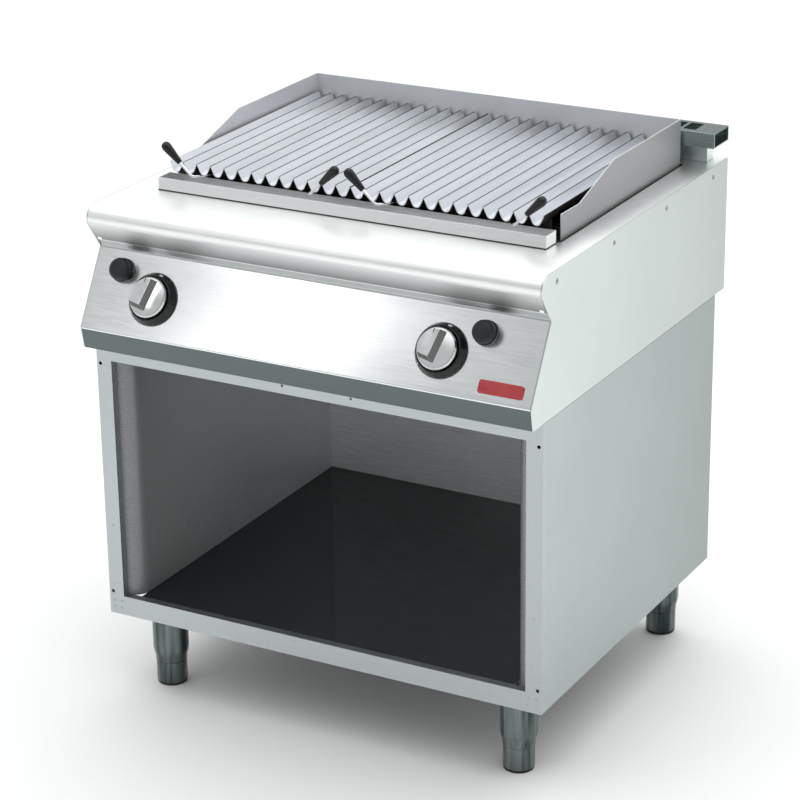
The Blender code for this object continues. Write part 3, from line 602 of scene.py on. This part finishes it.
def worktop():
    """The top sheet with its rolled front edge, the firebox opening and the flue's slot."""
    half = HALF - SHEET - GAP
    outline = [p for p in nosing() if p[1] > under_nosing(0.68, 0)[1]]
    profile = [under_nosing(0.68, 0.0)] + outline + [(REAR - SHEET - GAP, TOP)]
    bm = bmesh.new()
    strip(bm, profile, "X", -half, half, SHEET)
    # Faces below the nosing tip take the nosing steel, whose colour darkens downwards as painted shade.
    for face in bm.faces:
        if face.calc_center_median().z < NOSING_TIP_Z + 0.004:
            face.material_index = 1
    item = piece("worktop_sheet", bm, [TOP_STEEL, NOSING_SHADED_STEEL], bevel=0.0004)
    holes = bmesh.new()
    edge, front, rear = OPENING
    block(holes, (-edge, front, TOP - 0.01), (edge, rear, TOP + 0.01))
    upright = [e for e in holes.edges if abs(e.verts[0].co.z - e.verts[1].co.z) > 0.01]
    bmesh.ops.bevel(holes, geom=upright, offset=0.012, segments=6, affect="EDGES", profile=0.5)
    edge, front, rear = FLUE_SLOT
    block(holes, (-edge, front, TOP - 0.01), (edge, rear, TOP + 0.01))
    cut(item, holes)
    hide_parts("worktop")


def control_panel():
    """Sloping panel with soft bends, a lip below and the holes for its controls; the lip and the top bend are
    darker steel as painted shade.
    """
    half = HALF - SHEET - GAP
    recess = 0.0026
    shoulder = Vector(NECK) - Vector((RUN.y, RUN.z)) * recess
    corners = [(LIP[0] + LIP_RETURN, LIP[1]), LIP, PANEL_EDGE, tuple(shoulder), under_nosing(0.5, recess)]
    bm = bmesh.new()
    strip(bm, fillet(corners, [0.002, 0.0045, 0.006], 8), "X", -half, half, SHEET)
    # The lip and the top bend under the nosing get darker steel: painted shade.
    for face in bm.faces:
        height = face.calc_center_median().z
        if height < PANEL_EDGE[1] - 0.0022:
            face.material_index = 1
        elif height > NECK[1] - 0.0030:
            face.material_index = 2
    item = piece("control_panel_sheet", bm, [PANEL_STEEL, LIP_SHADED_STEEL, FOLD_SHADED_STEEL], bevel=0.0003)
    holes = bmesh.new()
    for x in KNOBS.values():
        lathe(holes, ((0, 0.01), (0.0125, 0.01), (0.0125, -0.01), (0, -0.01)), 32, on_panel(x, KNOB_DOWN))
    for x in IGNITERS.values():
        lathe(holes, ((0, 0.01), (0.0065, 0.01), (0.0065, -0.01), (0, -0.01)), 32, on_panel(x, IGNITER_DOWN))
    cut(item, holes)
    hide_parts("control_panel")


def upper_sides():
    """Side plates cut to the worktop's and panel's outline, with countersunk screws."""
    outline = [(REAR, TOP), (REAR, CABINET_TOP), LIP, PANEL_EDGE] + nosing()
    for side, sign in (("left", -1), ("right", 1)):
        outer, inner = sign * HALF, sign * (HALF - SHEET)
        bm = bmesh.new()
        rows = [[bm.verts.new((x, y, z)) for y, z in outline] for x in (inner, outer)]
        bm.faces.new(rows[0])
        bm.faces.new(rows[1][::-1])
        for i in range(len(outline)):
            j = (i + 1) % len(outline)
            bm.faces.new((rows[0][i], rows[0][j], rows[1][j], rows[1][i]))
        item = piece(f"upper_side_{side}_sheet", bm, UPPER_SHADED_STEEL, bevel=0.0006, segments=3)
        sinks = bmesh.new()
        for y in SCREW_YS:
            turn = Matrix.Translation((outer, y, SCREW_Z)) @ Matrix.Rotation(sign * math.pi / 2, 4, "Y")
            lathe(sinks, ((0, 0.001), (0.0058, 0.001), (0.0042, -0.0014), (0, -0.0014)), 32, turn)
            head = bmesh.new()
            profile = (
                (0.0012, -0.0012), (0.0016, -0.0005), (0.0030, -0.0003), (0.0041, -0.0007), (0.0042, -0.0013),
                (0, -0.0013),
            )
            lathe(head, ((0, -0.0012),) + profile, 24, turn)
            screw = piece(f"side_screw_{side}_{SCREW_YS.index(y)}", head, WALL_SHADE_AND_SCREW_CHROME, angle=50)
        cut(item, sinks)
        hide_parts(f"upper_side_{side}")


def seam():
    """The bright cut edge of the rolled sheet, and a small screw at each end of it."""
    bm = bmesh.new()
    along = []
    for share, inset in ((0.672, -0.0002), (0.695, -0.0002), (0.695, 0.0016), (0.672, 0.0016)):
        along.append(under_nosing(share, inset))
    ends = [[bm.verts.new((x, *point)) for point in along] for x in (-0.3965, 0.3965)]
    bm.faces.new(ends[0])
    bm.faces.new(ends[1][::-1])
    for i in range(4):
        j = (i + 1) % 4
        bm.faces.new((ends[0][i], ends[0][j], ends[1][j], ends[1][i]))
    piece("nosing_cut_edge", bm, SEAM_STEEL, bevel=0.0001)
    slope = Vector(NECK) - Vector((NOSING_FRONT, NOSING_TIP_Z))
    out = Vector((0.0, slope.y, -slope.x)).normalized()
    for side, x in (("left", -SEAM_SCREW_X), ("right", SEAM_SCREW_X)):
        y, z = under_nosing(0.62, 0.0001)
        turn = Matrix.Translation((x, y, z)) @ out.to_track_quat("Z", "X").to_matrix().to_4x4()
        bm = bmesh.new()
        profile = ((0, 0.0011), (0.0011, 0.0011), (0.0015, 0.0021), (0.0030, 0.0018), (0.0042, 0.0), (0, 0.0))
        lathe(bm, profile, 24, turn)
        piece(f"seam_screw_{side}", bm, CHROME, angle=50)


def badge():
    """Plain red plate on a thin steel backing."""
    refined("badge_plate", RED, bevel=0.0003)
    bm = bmesh.new()
    turn = on_panel(BADGE_X, BADGE_DOWN)
    block(bm, (-0.0382, -0.0112, 0.00005), (0.0382, 0.0112, 0.0004), turn)
    piece("badge_backing", bm, PANEL_STEEL, bevel=0.0001)


# ---- controls ----------------------------------------------------------------------------
def knob(side, x):
    """Chrome knob: a turned skirt, a flat face and one raised half with a sloping wall; its sides, wall and
    tail are darker chrome as painted shade.
    """
    body = f"knob_{side}"
    base = (
        (0.0312, 0.0208), (0.0328, 0.0180), (0.0330, 0.0150), (0.0330, 0.0085), (0.0045, 0.0085),
        (0.0045, 0.0160), (0, 0.0160),
    )
    turn = on_panel(x, KNOB_DOWN, 0.0, KNOB_SPIN)
    bm = bmesh.new()
    lathe(bm, ((0, 0.0215), (0.0296, 0.0215)) + base, 96, turn)
    item = piece(f"knob_{side}_skirt", bm, [CHROME, RIM_SHADED_CHROME], body, bevel=0.0005, angle=25)
    # Faces that do not face out along the panel take the darker rim chrome: painted shade.
    for face in item.data.polygons:
        out = face.normal.dot(NORMAL)
        if out < 0.95:
            face.material_index = 1
    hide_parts(body)
    foot, top = 0.0212, 0.0268
    rim, crown = 0.0296, 0.0284
    wall_foot, wall_top = 0.0072, -0.0030
    tail_foot, tail_top = -0.0225, -0.0165

    def outline(radius, wall, tail, height):
        """The raised half's edge at one height: the rim's arc, cut by the wall and the tail."""
        start = math.degrees(math.acos(wall / radius))
        end = 180 - math.degrees(math.asin(tail / radius))
        points = arc((0.0, 0.0), radius, start, end, 40) + [(wall - 0.0006, tail)]
        return [bm.verts.new(turn @ Vector((a, b, height))) for a, b in points]

    bm = bmesh.new()
    low = outline(rim, wall_foot, tail_foot, foot)
    high = outline(crown, wall_top, tail_top, top)
    bm.faces.new(high)
    bm.faces.new(low[::-1])
    count = len(low)
    # The wall and the tail facets take darker chrome: painted shade.
    for i in range(count):
        j = (i + 1) % count
        side_face = bm.faces.new((low[i], low[j], high[j], high[i]))
        side_face.material_index = {count - 2: 2, count - 1: 1}.get(i, 0)
    raised = piece(f"knob_{side}_grip", bm, [CHROME, WALL_SHADE_AND_SCREW_CHROME, TAIL_SHADED_CHROME], body, 0.0005, 25, 3)
    bm = bmesh.new()
    block(bm, (-0.0125, 0.0195, top - 0.0004), (-0.0112, 0.0262, top + 0.00012), turn)
    piece(f"knob_{side}_pointer", bm, BLACK_INK, body)


def bezel(side, x):
    """Black dished ring round a knob, with a square mark on top and a tick at lower left."""
    profile = (
        (0.0346, 0.0132), (0.0352, 0.0139), (0.0362, 0.0138), (0.0376, 0.0118), (0.0405, 0.0070),
        (0.0424, 0.0040), (0.0431, 0.0026), (0.0431, GAP), (0.0120, GAP), (0.0120, 0.0040), (0.0344, 0.0040),
    )
    turn = on_panel(x, KNOB_DOWN)
    bm = bmesh.new()
    lathe(bm, profile, 128, turn, ring=True)
    item = piece(f"knob_bezel_{side}_ring", bm, BLACK, bevel=0.0003, angle=50)
    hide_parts(f"knob_bezel_{side}")
    slope = math.atan2(0.0048, 0.0029)
    for name, clock, size in (("off", 14.0, (0.0062, 0.0042)), ("low", 229.0, (0.0024, 0.0048))):
        bm = bmesh.new()
        place = turn @ Matrix.Rotation(math.radians(-clock), 4, "Z") @ Matrix.Translation((0, 0.0393, 0.0090))
        tilt = place @ Matrix.Rotation(-slope, 4, "X")
        block(bm, (-size[0] / 2, -size[1] / 2, -0.0006), (size[0] / 2, size[1] / 2, 0.0003), tilt)
        piece(f"bezel_{side}_{name}_mark", bm, WHITE_INK, bevel=0.0001)


def igniter(side, x):
    """Steel collar and the domed black button that slides in it."""
    turn = on_panel(x, IGNITER_DOWN)
    bm = bmesh.new()
    collar = (
        (0.0184, 0.0080), (0.0190, 0.0086), (0.0197, 0.0080), (0.0202, 0.0012), (0.0202, GAP), (0.0062, GAP),
        (0.0062, -0.0026), (0.0100, -0.0026), (0.0100, -0.050), (0, -0.050), (0, -0.030), (0.0045, -0.030),
        (0.0045, 0.0018), (0.0184, 0.0018),
    )
    lathe(bm, collar[:10], 64, turn)
    lathe(bm, collar[10:] + collar[:1], 64, turn)
    bmesh.ops.remove_doubles(bm, verts=bm.verts, dist=0.000001)
    item = piece(f"igniter_{side}_collar", bm, COLLAR_STEEL, bevel=0.0002, angle=50)
    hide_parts(f"igniter_housing_{side}")
    bm = bmesh.new()
    button = (
        (0, 0.0235), (0.0060, 0.0234), (0.0110, 0.0229), (0.0145, 0.0218), (0.0168, 0.0200), (0.0178, 0.0175),
        (0.0181, 0.0150), (0.0181, 0.0062), (0.0040, 0.0062), (0.0040, -0.022), (0, -0.022),
    )
    lathe(bm, button, 64, turn)
    item = piece(f"igniter_{side}_cap", bm, BUTTON_BLACK, f"igniter_{side}", angle=50)
    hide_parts(f"igniter_button_{side}")


# ---- cooking surface ---------------------------------------------------------------------
def grate(side, first_x):
    """Thirteen V bars with rounded roots and eased ends, on two cross bars."""
    body = f"grate_{side}"
    reach = BAR_WIDTH / 2 - 0.0004
    radius = 0.0065
    bottom = arc((0.0, radius), radius, -28, -152, 14)
    profile = [(reach, BAR_DEPTH)] + bottom + [(-reach, BAR_DEPTH)]
    bm = bmesh.new()
    for i in range(BAR_COUNT):
        x = first_x + BAR_PITCH * (i + 0.5)
        before = set(bm.verts)
        strip(bm, [(x + a, b) for a, b in profile[::-1]], "Y", BAR_Y[1], BAR_Y[0], 0.0015)
        for vertex in set(bm.verts) - before:
            share = (vertex.co.y - BAR_Y[0]) / (BAR_Y[1] - BAR_Y[0])
            vertex.co.z += BAR_BOTTOM + BAR_FALL * share
    bmesh.ops.recalc_face_normals(bm, faces=bm.faces)
    # Top edges and downward faces of the bars take the near-black material: painted shade.
    for face in bm.faces:
        centre = face.calc_center_median()
        share = (centre.y - BAR_Y[0]) / (BAR_Y[1] - BAR_Y[0])
        is_end = abs(face.normal.y) > 0.5
        is_rim = centre.z > BAR_BOTTOM + BAR_FALL * share + BAR_DEPTH - 0.0008
        if not is_end and (is_rim or face.normal.z < -0.05):
            face.material_index = 1
    item = piece(f"grate_{side}_bars", bm, [BAR_STEEL, BAR_EDGE_SHADE], body, bevel=0.0002, angle=40)
    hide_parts(f"grate_{side}")
    bm = bmesh.new()
    for y in CROSS_BARS:
        share = (y - BAR_Y[0]) / (BAR_Y[1] - BAR_Y[0])
        top = BAR_BOTTOM + BAR_FALL * share + 0.001
        low = (first_x + 0.003, y, LEDGE_TOP)
        block(bm, low, (first_x + BAR_COUNT * BAR_PITCH - 0.003, y + 0.004, top))
    piece(f"grate_{side}_rails", bm, BURNT, body, bevel=0.0005)


def handle(place, x, sign):
    """Bent chrome wire with a pear-shaped black grip."""
    body = "grate_" + place.split("_")[0]
    lean = Vector((sign * 0.72, 0.0, 0.69)).normalized()
    elbow = Vector((x, ELBOW_Y, ELBOW_Z))
    weld = elbow + Vector((-sign * 0.030, 0.0355, 0.0))
    wire = rod(f"handle_{place}_wire", [weld, elbow, elbow + lean * 0.050], 0.0022, WIRE_CHROME, body)
    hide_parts(f"handle_{place}")
    profile = (
        (0, 0.0720), (0.0026, 0.0718), (0.0050, 0.0708), (0.0068, 0.0688), (0.0078, 0.0660), (0.0080, 0.0630),
        (0.0077, 0.0590), (0.0070, 0.0530), (0.0060, 0.0440), (0.0051, 0.0360), (0.0045, 0.0306),
        (0.0041, 0.0300), (0.0026, 0.0300), (0.0026, 0.0515), (0, 0.0515),
    )
    bm = bmesh.new()
    turn = Matrix.Translation(elbow) @ lean.to_track_quat("Z", "Y").to_matrix().to_4x4()
    lathe(bm, profile, 32, turn)
    grip = piece(f"handle_{place}_grip", bm, BLACK, body, angle=60)
    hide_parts(f"grip_{place}")


def trough_painted_shadow():
    """Dark strip under the trough's front and ends: a painted shadow line where the trough meets the worktop.
    """
    front, back, low, high = -0.2066, -0.1725, TOP + 0.0001, TOP + 0.0016
    bm = bmesh.new()
    block(bm, (-0.3456, front, low), (0.3456, front + 0.0016, high))
    for x in (-0.3456, 0.3440):
        block(bm, (x, front + 0.0017, low), (x + 0.0016, back, high))
    piece("trough_painted_shadow", bm, PAD_AND_SHADOW_BLACK, "grease_trough", bevel=0.0003)


# ---- cabinet details ---------------------------------------------------------------------
def rivets():
    """Small domed rivets on the frame's stiles and on the rolled edge of the lining."""
    turn = Matrix.Rotation(math.pi / 2, 4, "X")
    dome = ((0, 0.0009), (0.0012, 0.0008), (0.0022, 0.0004), (0.0026, 0.0), (0, 0.0))
    spots = []
    for sign in (-1, 1):
        spots += [(sign * x, z) for x in (0.377, 0.391) for z in (0.151, 0.164)]
        spots.append((sign * 0.386, 0.300))
    bm = bmesh.new()
    for x, z in spots:
        lathe(bm, dome, 20, Matrix.Translation((x, -0.325, z)) @ turn)
    piece("frame_rivets", bm, FRAME_SHADED_STEEL, angle=60)


def legs():
    """Turned steel legs: sleeve with a fine ring, and a foot with a black pad under it."""
    for name, (x, y) in LEGS.items():
        turn = Matrix.Translation((x, y, 0))
        bm = bmesh.new()
        sleeve = (
            (0, 0.1717), (0.030, 0.1717), (0.030, 0.0665), (0.0299, 0.0650), (0.0293, 0.0610),
            (0.0284, 0.0570), (0.0272, 0.0530), (0.0266, 0.0505), (0.0264, 0.0440), (0.0260, 0.0430),
            (0.0103, 0.0430), (0.0103, 0.120), (0, 0.120),
        )
        lathe(bm, sleeve, 64, turn)
        item = piece(f"leg_{name}_sleeve", bm, LEG_STEEL, angle=40)
        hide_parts(f"leg_sleeve_{name}")
        bm = bmesh.new()
        foot = (
            (0, 0.110), (0.010, 0.110), (0.010, 0.0427), (0.0248, 0.0427), (0.0256, 0.0418), (0.0257, 0.0060),
            (0.0250, 0.0048), (0, 0.0048),
        )
        lathe(bm, foot, 64, turn)
        item = piece(f"leg_{name}_foot", bm, LEG_STEEL, f"foot_{name}", angle=40)
        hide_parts(f"foot_{name}")
        bm = bmesh.new()
        pad = ((0, 0.0047), (0.0245, 0.0047), (0.0250, 0.0040), (0.0246, 0.0006), (0.0238, 0.0), (0, 0.0))
        lathe(bm, pad, 64, turn)
        piece(f"leg_{name}_pad", bm, PAD_AND_SHADOW_BLACK, f"foot_{name}", angle=40)


def sheets():
    """The CAD sheets whose shape is right, with eased edges and their own finishes; the frame, sides, liner,
    floor and the guard's outer faces are darkened as painted shade.
    """
    for names, material, body, slot in (
        (("front_frame",), FRAME_SHADED_STEEL, "cabinet", "stainless"),
        (("cabinet_side_left", "cabinet_side_right"), SIDE_SHADED_STEEL, "cabinet", "satin_steel"),
        (("back_panel",), BACK_STEEL, "cabinet", "satin_steel"),
        (("cabinet_liner",), LINER_SHADED_STEEL, "cabinet", "dark_liner"),
        (("cabinet_floor",), FLOOR_SHADED_STEEL, "cabinet", "dark_liner"),
        (("flue_cap",), FLUE_STEEL, "cabinet", "stainless"),
        (("flue_riser",), RISER_STEEL, "cabinet", "stainless"),
        (("flue_grille",), GRILLE_STEEL, "cabinet", "stainless"),
        (("grease_trough",), TROUGH_STEEL, "grease_trough", "stainless"),
    ):
        for name in names:
            refined(name, material, body)
    guard = refined("splash_guard", [GUARD_STEEL, GUARD_OUTER_SHADED_STEEL], "splash_guard")
    # The outward faces of the side cheeks take the darker steel: painted shade.
    for face in guard.data.polygons:
        if face.normal.x * face.center.x > 0 and abs(face.center.x) > GUARD_SIDE_X:
            face.material_index = 1
    paint(RACK_BLACK, "heat_rack_left", "heat_rack_right")
    paint(BURNT, "firebox_shell", "firebox_front", "firebox_rear", "rack_support", "flue_duct")
    paint(BACK_STEEL, "cabinet_ceiling")
    paint(PLAIN_STEEL, "burner_left", "burner_right", "valve_spindle_left", "valve_spindle_right")
    paint(BRASS, *[n for n in NODES if n.startswith("gas_")])
    paint(CERAMIC, "spark_electrode_left", "spark_electrode_right")


# ---- studio ------------------------------------------------------------------------------
SKY_FRONT = 0.50
SKY_BACK = 1.02
SKY_TOP = 1.25
FLOOR_HALF = 30.0


def studio():
    """Pale floor, and a sky that is brighter behind the object and overhead."""
    bm = bmesh.new()
    signs = ((-1, -1), (1, -1), (1, 1), (-1, 1))
    bm.faces.new([bm.verts.new((a * FLOOR_HALF, b * FLOOR_HALF, 0.0)) for a, b in signs])
    data = bpy.data.meshes.new("studio_floor")
    bm.to_mesh(data)
    bm.free()
    ground = bpy.data.objects.new("studio_floor", data)
    bpy.context.scene.collection.objects.link(ground)
    data.materials.append(floor_paint("floor_paint"))
    world = bpy.data.worlds.new("studio")
    bpy.context.scene.world = world
    world.use_nodes = True
    tree = world.node_tree
    background = tree.nodes["Background"]
    place = tree.nodes.new("ShaderNodeTexCoord")
    split = tree.nodes.new("ShaderNodeSeparateXYZ")
    tree.links.new(place.outputs["Generated"], split.inputs[0])
    total = tree.nodes.new("ShaderNodeMath")
    for slot, (axis, start, end, low, high) in enumerate(
        (("Y", -0.75, 0.75, SKY_FRONT, SKY_BACK), ("Z", 0.55, 1.0, 0.0, SKY_TOP))
    ):
        ramp = tree.nodes.new("ShaderNodeMapRange")
        ramp.interpolation_type = "SMOOTHSTEP"
        for socket, number in (("From Min", start), ("From Max", end), ("To Min", low), ("To Max", high)):
            ramp.inputs[socket].default_value = number
        tree.links.new(split.outputs[axis], ramp.inputs["Value"])
        tree.links.new(ramp.outputs[0], total.inputs[slot])
    tree.links.new(total.outputs[0], background.inputs["Strength"])
    background.inputs["Color"].default_value = (0.985, 1.0, 1.0, 1.0)


def softbox(name, at, target, size, watts):
    """A rectangular light at one place, aimed at another."""
    light = bpy.data.lights.new(name, "AREA")
    light.shape = "RECTANGLE"
    light.size, light.size_y = size
    light.energy = watts
    item = bpy.data.objects.new(name, light)
    bpy.context.scene.collection.objects.link(item)
    item.location = at
    item.rotation_euler = (Vector(target) - Vector(at)).to_track_quat("-Z", "Y").to_euler()


def lights():
    """One light whose reflection brightens the middle of the control panel."""
    softbox("panel_glare", (-1.32, -2.20, 2.10), (0.0, -0.33, 0.72), (0.34, 1.2), 2.2)


def camera():
    """The view from the front right, slightly above."""
    data = bpy.data.cameras.new("camera")
    data.sensor_width = SENSOR_WIDTH
    data.lens = LENS
    item = bpy.data.objects.new("camera", data)
    bpy.context.scene.collection.objects.link(item)
    placed = Matrix.Translation(CAMERA_AT)
    for degrees, axis in CAMERA_TURNS:
        placed @= Matrix.Rotation(math.radians(degrees), 4, axis)
    item.matrix_world = placed
    bpy.context.scene.camera = item


sheets()
worktop()
control_panel()
upper_sides()
seam()
badge()
for side, x in KNOBS.items():
    knob(side, x)
    bezel(side, x)
for side, x in IGNITERS.items():
    igniter(side, x)
for side, first_x in GRATES.items():
    grate(side, first_x)
for place, (x, sign) in HANDLES.items():
    handle(place, x, sign)
trough_painted_shadow()
rivets()
legs()
studio()
lights()
camera()
bpy.context.scene.view_settings.view_transform = "Standard"
